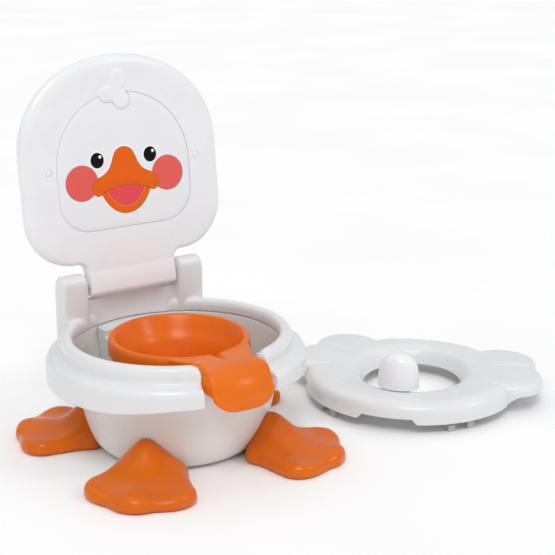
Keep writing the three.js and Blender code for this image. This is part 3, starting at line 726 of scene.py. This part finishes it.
def tuft_relief():
    """A closed pad whose top is the tuft's soft relief; its rim lies just under the lid's face."""
    xs, zs = np.linspace(-30, 22, 105), np.linspace(185, 242, 115)
    x, z = np.meshgrid(xs, zs)
    rise = TUFT_RISE * smoothstep(0.1, -3.6, tuft_distance(x, z)) - 0.05
    top = np.column_stack([x.ravel(), (FACE - rise).ravel(), z.ravel()])
    bottom = np.column_stack([x.ravel(), np.full(x.size, FACE + 1.8), z.ravel()])
    rows, columns = x.shape
    faces = grid_faces(rows, columns, False, False)
    faces += [tuple(i + x.size for i in reversed(f)) for f in grid_faces(rows, columns, False, False)]
    edge = list(range(columns))
    edge += [r * columns + columns - 1 for r in range(1, rows)]
    edge += [(rows - 1) * columns + c for c in range(columns - 2, -1, -1)]
    edge += [r * columns for r in range(rows - 2, 0, -1)]
    for a, b in zip(edge, edge[1:] + edge[:1]):
        faces.append((b, a, a + x.size, b + x.size))
    keep = tuft_distance(top[:, 0], top[:, 2]) < -0.05
    keep = np.r_[keep, keep]
    faces = [f for f in faces if all(keep[list(f)])]
    pad = make_object("tuft", np.vstack([top, bottom]), faces)
    close_sides(pad)
    return pad


def close_sides(obj):
    """Bridges the open rims of a top and a bottom sheet."""
    work = bmesh.new()
    work.from_mesh(obj.data)
    loose = [v for v in work.verts if not v.link_faces]
    bmesh.ops.delete(work, geom=loose, context="VERTS")
    bmesh.ops.bridge_loops(work, edges=[e for e in work.edges if e.is_boundary])
    bmesh.ops.recalc_face_normals(work, faces=work.faces)
    work.to_mesh(obj.data)
    work.free()


def tuft_cutter(margin, front, back):
    angles = np.radians(np.arange(0, 360, 3))
    middle = np.array([-3.0, 211.0])
    outline = []
    for angle in angles:
        ray = np.array([math.cos(angle), math.sin(angle)])
        reach = np.linspace(0, 40, 801)
        gap = tuft_distance(middle[0] + ray[0] * reach, middle[1] + ray[1] * reach) - margin
        outline.append(middle + ray * reach[np.nonzero(gap < 0)[0][-1]])
    outline = np.array(outline)

    def place(points, end):
        return np.column_stack([points[:, 0], np.full(len(points), back if end else front), points[:, 1]])

    return prism("tuft_cutter", outline, place)


def lid_knuckle():
    outline = rounded([(-11, -11), (11, -11), (11, 11), (-7.6, 24), (-11, 7)], [6, 6, 6, 1, 9], True, 8)
    ends = [(50.5, 1), (52.2, 0.985), (53.4, 0.95), (54, 0.90)]
    ends = [(-x, scale) for x, scale in reversed(ends)] + ends
    rows = [np.column_stack([np.full(len(outline), x), outline * scale]) for x, scale in ends]
    return stacked("knuckle", rows)


def lid():
    rings = [(9, 2), (9, 4.4), (8.2, 5), (5, 4.8), (2.2, 3.7), (0.7, 2), (0, 0.2), (0, -1.2), (0.5, -3.2)]
    rings += [(1.9, -5.3), (4, -6.9), (6.8, -8), (10.5, -8.7), (15, -9)]
    outline = lid_outline()
    share = 0.35 + 0.65 * smoothstep(24, 48, outline[:, 1])
    shell = slab("lid_shell_skin", outline, rings, (0, 120), 20, share)
    pocket_front, pocket_floor = FACE - 4, FACE + 1.3
    pocket = slab("pocket", panel_outline(0.55), [(0, pocket_floor), (0, pocket_front)], (0, 130), 2)
    cut_with(pocket, tuft_cutter(-0.1, FACE - 8, FACE + 5))
    cut_with(shell, pocket)
    for side in (-1, 1):
        dimple = lathe("dimple", [(0, -1.1), (4.15, -1.1), (4.2, 3), (0, 3)], 48)
        moved(dimple, along((0, -1, 0), Vector((side * BUMPER_AT[0], FACE, BUMPER_AT[1])) * MM))
        cut_with(shell, dimple)
    whole = joined("lid_shell_skin", shell, lid_knuckle(), tuft_relief())
    smooth_by_angle(whole, 40)
    moved(whole, LID_MATRIX)
    finished(whole, WHITE, "lid", "white_plastic", "lid_shell")

    half, low, high = LID_HALF - COVER_INSET, LID_LOW + COVER_INSET, LID_HIGH - COVER_INSET
    cover_outline = evened(arched(half, low, high, LID_CORNER - COVER_INSET, 148, 204, 48), 2.2)
    rings = [(0.8, 2), (0, 2.4), (0, 4.2), (0.3, 4.8), (1, 5)]
    cover = slab("lid_cover_plate", cover_outline, list(reversed(rings)), (0, 130), 12)
    smooth_by_angle(cover, 40)
    moved(cover, LID_MATRIX)
    finished(cover, WHITE, "lid", "white_plastic", "lid_back_cover")

    rings = [(0.0, FACE + 1.2), (0.0, FACE + 0.6), (0.15, FACE + 0.3), (0.6, FACE + 0.15)]
    panel = slab("face_panel_plate", panel_outline(0), rings, (0, 130), 14)
    cut_with(panel, tuft_cutter(0.55, FACE - 8, FACE + 5))
    smooth_by_angle(panel, 40)
    moved(panel, LID_MATRIX)
    finished(panel, PANEL_WHITE, "lid", "face_print", "face_panel")

    for where, side in (("left", -1), ("right", 1)):
        profile = [(0, -1.0), (4, -1.0), (4, -0.05), (3, 0.35), (0, 0.5)]
        profile = rounded(profile, [0, 0.2, 0.8, 1.2, 0], steps=5)
        bumper = lathe(f"lid_bumper_{where}_dome", profile, 48)
        moved(bumper, LID_MATRIX @ along((0, -1, 0), Vector((side * BUMPER_AT[0], FACE, BUMPER_AT[1])) * MM))
        finished(bumper, WHITE, "lid", "white_plastic", f"lid_bumper_{where}")


def smooth_by_angle(obj, degrees):
    """Smooth shading that keeps corners sharper than the angle crisp."""
    work = bmesh.new()
    work.from_mesh(obj.data)
    for edge in work.edges:
        if len(edge.link_faces) == 2 and edge.calc_face_angle(0) > degrees * DEG:
            edge.smooth = False
    for face in work.faces:
        face.smooth = True
    work.to_mesh(obj.data)
    work.free()


lid()


# ---- Printed face --------------------------------------------------------------------------------------
PRINT_BASE = FACE + 0.15


def printed(name, outline, high, material, slot):
    """One ink layer of the face: a very thin plate that stands a given height above the panel."""
    outline = evened(np.asarray(outline, float), 0.8)
    centre = outline.mean(0)
    rings = [(0, PRINT_BASE + 0.1), (0, PRINT_BASE - high + 0.02), (0.08, PRINT_BASE - high)]
    piece = slab(name, outline, rings, centre, 5)
    moved(piece, LID_MATRIX)
    finished(piece, material, "lid", slot)


def disc(cx, cz, radius, tall=1.0):
    angles = np.radians(np.arange(0, 360, 4))
    return np.column_stack([cx + radius * np.cos(angles), cz + tall * radius * np.sin(angles)])


def grown(outline, margin):
    outline = evened(np.asarray(outline, float), 0.8)
    return outline + normals_of(outline) * margin


# Right halves of the beak (listed top to bottom), the lower lip and the open mouth (both bottom to top).
BEAK_HALF = [
    (0, 151), (5.5, 150), (10.5, 146.5), (14, 140), (17, 132.5), (21.5, 126), (28, 121.5), (34.5, 118.8),
    (39.5, 114.5), (41.5, 108.5), (40.3, 102.3), (36, 98.9), (31, 99.6), (27, 102.3), (22, 104.4), (12, 107),
    (0, 108),
]
LIP_HALF = [(0, 76.5), (8, 77.6), (16, 81.5), (23, 88), (28, 95.5), (30.5, 103), (26, 107), (12, 110), (0, 110)]
MOUTH_HALF = [(0, 85.2), (7, 86.2), (13.5, 90), (19, 96), (22.8, 102.6), (21, 105.5), (12, 108), (0, 109)]


def both_sides(half, upward=False):
    """An anticlockwise outline from its right half; upward says that the half is listed bottom to top."""
    right = half if upward else list(reversed(half))
    left = [(-x, z) for x, z in reversed(right) if x > 0]
    return closed_spline(right + left, 160)


def face():
    beak, lip, mouth = both_sides(BEAK_HALF), both_sides(LIP_HALF, True), both_sides(MOUTH_HALF, True)
    printed("print_beak_halo", grown(beak, 1.5), 0.03, PRINT_HALO, "face_print")
    printed("print_lip_halo", grown(lip, 1.5), 0.035, PRINT_HALO, "face_print")
    for where, side in (("left", -1), ("right", 1)):
        eye = disc(side * 33, 138.7, 8.1, 1.06)
        printed(f"print_eye_halo_{where}", grown(eye, 1.5), 0.04, PRINT_HALO, "face_print")
        cheek = (side * 53.5, 115.7)
        printed(f"print_cheek_edge_{where}", disc(*cheek, 19.9), 0.05, PRINT_CORAL_EDGE, "print_coral")
        printed(f"print_cheek_{where}", disc(*cheek, 19.2), 0.08, PRINT_CORAL, "print_coral")
        printed(f"print_eye_{where}", eye, 0.11, PRINT_BLACK, "print_black")
        printed(f"print_glint_{where}", disc(side * 33 + 3.7, 142.3, 1.8), 0.14, PRINT_HALO, "face_print")
    printed("print_lip_edge", lip, 0.11, PRINT_ORANGE_EDGE, "print_orange")
    printed("print_lip", grown(lip, -0.6), 0.14, PRINT_ORANGE, "print_orange")
    printed("print_mouth_edge", grown(mouth, 0.9), 0.17, PRINT_PINK_LIGHT, "print_pink")
    printed("print_mouth", mouth, 0.20, PRINT_PINK, "print_pink")
    printed("print_beak_edge", beak, 0.23, PRINT_ORANGE_EDGE, "print_orange")
    printed("print_beak", grown(beak, -0.7), 0.26, PRINT_ORANGE, "print_orange")


face()


# ---- Pot -----------------------------------------------------------------------------------------------
POT_TOP, RIM_CREST = 126, 73.5
BOSS_AT, BOSS_TURN = 64, 35
HANDLE_HALF, HANDLE_EDGE = 28.5, 1.8
POT_SKIN = [
    (0, 40), (41, 40), (44, 42), (44.5, 53), (42.8, 56.8), (46, 68), (52, 86), (57.5, 102), (62, 110),
    (67.5, 120), (72.6, 121.2), (73, 107), (76, 107), (76, 121), (74.6, 124.6), (72, 126), (69.5, 125.6),
    (66.5, 121), (60, 109), (54.5, 101), (49, 86), (43, 68), (40, 56), (40.5, 47), (38, 43.5), (0, 43.5),
]


def pot_oval(vertices):
    return vertices * [1, POT_OVAL, 1]


def pot_body():
    radii = [0, 1.6, 1.6, 2, 2, 6, 10, 6, 6, 3, 1.5, 1, 1.4, 3, 2, 2, 2, 4, 8, 8, 10, 6, 4, 2, 2, 0]
    profile = refined(rounded(POT_SKIN, radii), 2.5)
    return lathe("pot_body", profile, 200, pot_oval)


def pot_handle():
    """A beak-like tongue, widest where it leaves the rim's crest and turned down in front."""
    crest = POT_OVAL * RIM_CREST
    outer = [(-crest, 124.9), (-88, 125.5), (-108, 125.7)]
    outer += bezier((-108, 125.7), (-126, 125), (-138.4, 112), (-139.2, 84.2), 20)
    inner = [(-131, 84.2)] + bezier((-131, 84.2), (-131, 104), (-124, 116), (-112, 117.5), 20) + [(-crest, 116)]
    outline = refined(rounded(outer + inner, 2.4, True, 5), 2.2, True)
    outward = normals_of(outline)
    edge = 0.93 + 0.07 * np.sin(np.linspace(0, math.pi / 2, 7))
    columns = np.concatenate([-edge[::-1], np.linspace(-0.93, 0.93, 45)[1:-1], edge])
    under = (outline[:, 1] < 119) & (outline[:, 0] > -112)
    rows = []
    for across in columns:
        past = max(0.0, (abs(across) - 0.93) / 0.07)
        y, z = (outline - outward * HANDLE_EDGE * (1 - math.sqrt(max(0.0, 1 - past * past)))).T
        web = 9 * smoothstep(0.5, 0.85, abs(across)) * smoothstep(-99, -82, y)
        z = z - np.where(under, web, 0)
        spread = smoothstep(-84, -122, y)
        x = across * (HANDLE_HALF + 7.5 * spread + 21 * smoothstep(-101, -crest, y))
        y = y + (crest - POT_OVAL * np.sqrt(RIM_CREST**2 - x**2)) * smoothstep(-112, -crest, y)
        z = z + 15 * across**4 * smoothstep(108, 84, z)
        z = z - 2.2 * across**2 * smoothstep(-90, -115, y)
        y = y + 7 * across**2 * smoothstep(-112, -138, y)
        rows.append(np.column_stack([x, y, z]))
    return stacked("pot_handle", rows)


def near_handle_root(vertices):
    y, z = vertices[:, 1], vertices[:, 2]
    return smoothstep(-56, -68, y) * smoothstep(-106, -90, y) * smoothstep(104, 112, z)


def pot():
    pieces = [pot_body(), pot_handle()]
    for side in (-1, 1):
        profile = rounded([(0, 90), (5, 91), (8.6, 96), (9, 104), (9, 115), (0, 115)], [0, 2, 4, 3, 1, 0])
        boss = lathe("boss", profile, 40)
        turn = side * BOSS_TURN * DEG
        pieces.append(moved(boss, shift_mm(BOSS_AT * math.sin(turn), -BOSS_AT * math.cos(turn) * POT_OVAL, 0)))
    whole = fused(joined("pot_skin", *pieces), 0.9, 2)
    room = [(0, 43.5), (38, 43.5), (40.5, 47), (40, 56), (43, 68), (49, 86), (54.5, 101), (60, 109)]
    room += [(66.5, 121), (70, 127), (70, 140), (0, 140)]
    room = rounded(room, [0] + [3] * 8 + [1, 0, 0])
    cut_with(whole, lathe("room", room, 160, pot_oval))
    notch = [(-1, 1), (0, 0), (1, 1)]

    def place(points, end):
        half, y, deep = (14, -62, 14) if end else (3, -97, 0.5)
        across = points[:, 0] * half
        return np.column_stack([across, np.full(len(points), y), POT_TOP - deep + points[:, 1] * (deep + 4)])

    cut_with(whole, prism("notch", notch, place))
    fused(whole, 0.8, 14)
    relaxed(whole, 50, near_handle_root)
    finished(whole, ORANGE_POT, "pot", "orange_pot", "pot")


pot()


# ---- Seat ring and splash guard ------------------------------------------------------------------------
RING_MATRIX = shift_mm(*RING_AT, 0) @ Matrix.Rotation(RING_TURN * DEG, 4, "Z")
RING_SECTION = [
    (121, 11.5), (121, 27), (118, 32.5), (110, 35.8), (82, 34.8), (70, 32), (64, 25), (61, 15), (64.5, 15),
    (69, 26), (80, 30.8), (110, 32), (117.5, 26), (117.5, 11.5),
]
# Each wing has two feather lobes: middle angle, half its spread, how far it stands out.
WING_LOBES = [(103, 23, 33), (128, 17, 41)]
WING_START, LOBE_EDGES = 80.5, (80.5, 114.5, 144.5)


def wing_reach(degrees):
    reaches = []
    for middle, spread, reach in WING_LOBES:
        off = (np.abs(degrees) - middle) / spread
        reaches.append(reach * np.maximum(0, 1 - off * off) ** 0.6)
    return np.maximum(*reaches)


def ring_shape(vertices):
    """Turns a round section into the oval seat with its wings, its creases and the arch in its front skirt."""
    radius = np.hypot(vertices[:, 0], vertices[:, 1])
    turn = np.arctan2(vertices[:, 0], -vertices[:, 1])
    degrees = np.degrees(turn)
    share = (radius - 66) / 55
    half_width = 63 + 61 * share
    half_length = 70 + 48 * share
    reach = wing_reach(degrees)
    start = np.exp(-(((np.abs(degrees) - WING_START) / 1.8) ** 2)) * smoothstep(104, 119, radius)
    outward = reach * smoothstep(98, 119, radius) - 2.5 * start
    arch = 6.5 * (1 - smoothstep(13.5, 16.5, np.abs(degrees)))
    skirt = np.where(radius > 115, np.clip((27 - vertices[:, 2]) / 15.5, 0, 1), 0)
    top = vertices[:, 2] > 27
    lobe_edge = np.minimum.reduce([np.abs(np.abs(degrees) - edge) for edge in LOBE_EDGES])
    groove = 1.6 * np.exp(-((lobe_edge / 2.2) ** 2)) * smoothstep(88, 108, radius)
    rise = skirt * np.maximum(arch, 10 * np.minimum(1, reach / 12)) - np.where(top, groove, 0)
    return np.column_stack([
        (half_width + outward) * np.sin(turn),
        -(half_length + outward) * np.cos(turn) + 8 * (1 - share),
        vertices[:, 2] + rise,
    ])


def seat_ring():
    profile = rounded(RING_SECTION, [0.8, 4, 5, 8, 8, 6, 5, 1, 1, 5, 5, 5, 4, 0.8], True, 6)
    ring = lathe("seat_ring_skin", refined(profile, 2.2, True), 480, ring_shape, True)
    relaxed(ring, 3)
    moved(ring, RING_MATRIX)
    finished(ring, SHADED_WHITE, "ring", "white_plastic", "seat_ring")


seat_ring()

GUARD_FOOT, GUARD_AT, GUARD_OVAL = 36.7, -60, 0.72


def guard_oval(vertices):
    return vertices * [1, GUARD_OVAL, 1]


def splash_guard():
    outside = [(0, -1.6), (24, -1.6), (24.3, -0.4), (23.6, 1), (24, 2.4)]
    outside += [(24, 13), (22, 25), (17, 33.5), (9, 38), (0, 39)]
    inside = [(0, 3), (21, 3), (21, 13), (19, 23.5), (14.5, 31), (7, 35), (0, 36)]
    dome = lathe("dome", rounded(outside, [0, 0.4, 0.4, 0.4, 0.5, 5, 8, 8, 8, 0]), 120, guard_oval)
    moved(dome, shift_mm(0, GUARD_AT, GUARD_FOOT))
    room = lathe("room", rounded(inside, [0, 1, 4, 6, 6, 6, 0]), 96, guard_oval)
    moved(room, shift_mm(0, GUARD_AT + 0.5, GUARD_FOOT))
    mouth = box_object("mouth", (-17, GUARD_AT + 3, GUARD_FOOT + 3), (17, GUARD_AT + 30, GUARD_FOOT + 27))
    cut_with(dome, room, mouth)
    tab = box_object("tab", (-12, -53.5, 20), (12, -50.5, GUARD_FOOT + 1))
    whole = fused(joined("splash_guard_dome", dome, tab), 0.45, 10)
    moved(whole, RING_MATRIX)
    finished(whole, WHITE, "guard", "white_plastic", "splash_guard")


splash_guard()


# ---- Floor, light, camera ------------------------------------------------------------------------------
def studio():
    scene = bpy.context.scene
    scene.view_settings.view_transform = "Standard"
    floor = Nodes("studio_floor")
    cloud = floor.ranged(floor.noise(3.0, 2.0), 0.3, 0.7, 0.0, 1.0)
    tone = floor.mixed(cloud, srgb(255, 255, 255), srgb(252, 252, 253))
    floor.into("Base Color", tone)
    floor.shader.inputs["Roughness"].default_value = 0.9
    floor.shader.inputs["Specular IOR Level"].default_value = 0.1
    reach = 40000
    corners = [(-reach, -reach, 0), (reach, -reach, 0), (reach, reach, 0), (-reach, reach, 0)]
    ground = make_object("studio_floor", corners, [(0, 1, 2, 3)])
    ground.data.materials.append(floor.material)

    world = bpy.data.worlds.new("studio")
    scene.world = world
    world.use_nodes = True
    sky = world.node_tree.nodes["Background"]
    sky.inputs["Color"].default_value = (1.0, 1.0, 1.0, 1.0)
    sky.inputs["Strength"].default_value = 0.56

    def sun(name, origin, strength, softness):
        light = bpy.data.lights.new(name, "SUN")
        light.energy, light.angle = strength, softness * DEG
        lamp = bpy.data.objects.new(name, light)
        lamp.rotation_euler = (-Vector(origin)).to_track_quat("-Z", "Y").to_euler()
        scene.collection.objects.link(lamp)

    sun("key", (-0.55, -0.75, 1.25), 1.0, 24)
    sun("fill", (0.7, -0.9, 0.8), 0.30, 10)
    sun("top", (0.1, 0.2, 1.0), 0.42, 80)


def camera():
    azimuth, elevation, distance = -34.44, 16.49, 1542.6
    target = Vector((128.06, -0.85, 168.36)) * MM
    a, e = azimuth * DEG, elevation * DEG
    back = Vector((math.sin(a) * math.cos(e), -math.cos(a) * math.cos(e), math.sin(e)))
    lens = bpy.data.cameras.new("camera")
    lens.sensor_width, lens.lens = 36, 89.37
    view = bpy.data.objects.new("camera", lens)
    view.location = target + back * distance * MM
    view.rotation_mode = "QUATERNION"
    view.rotation_quaternion = (-back).to_track_quat("-Z", "Y")
    lens.clip_start, lens.clip_end = 0.05, 100
    bpy.context.scene.collection.objects.link(view)
    bpy.context.scene.camera = view


studio()
camera()
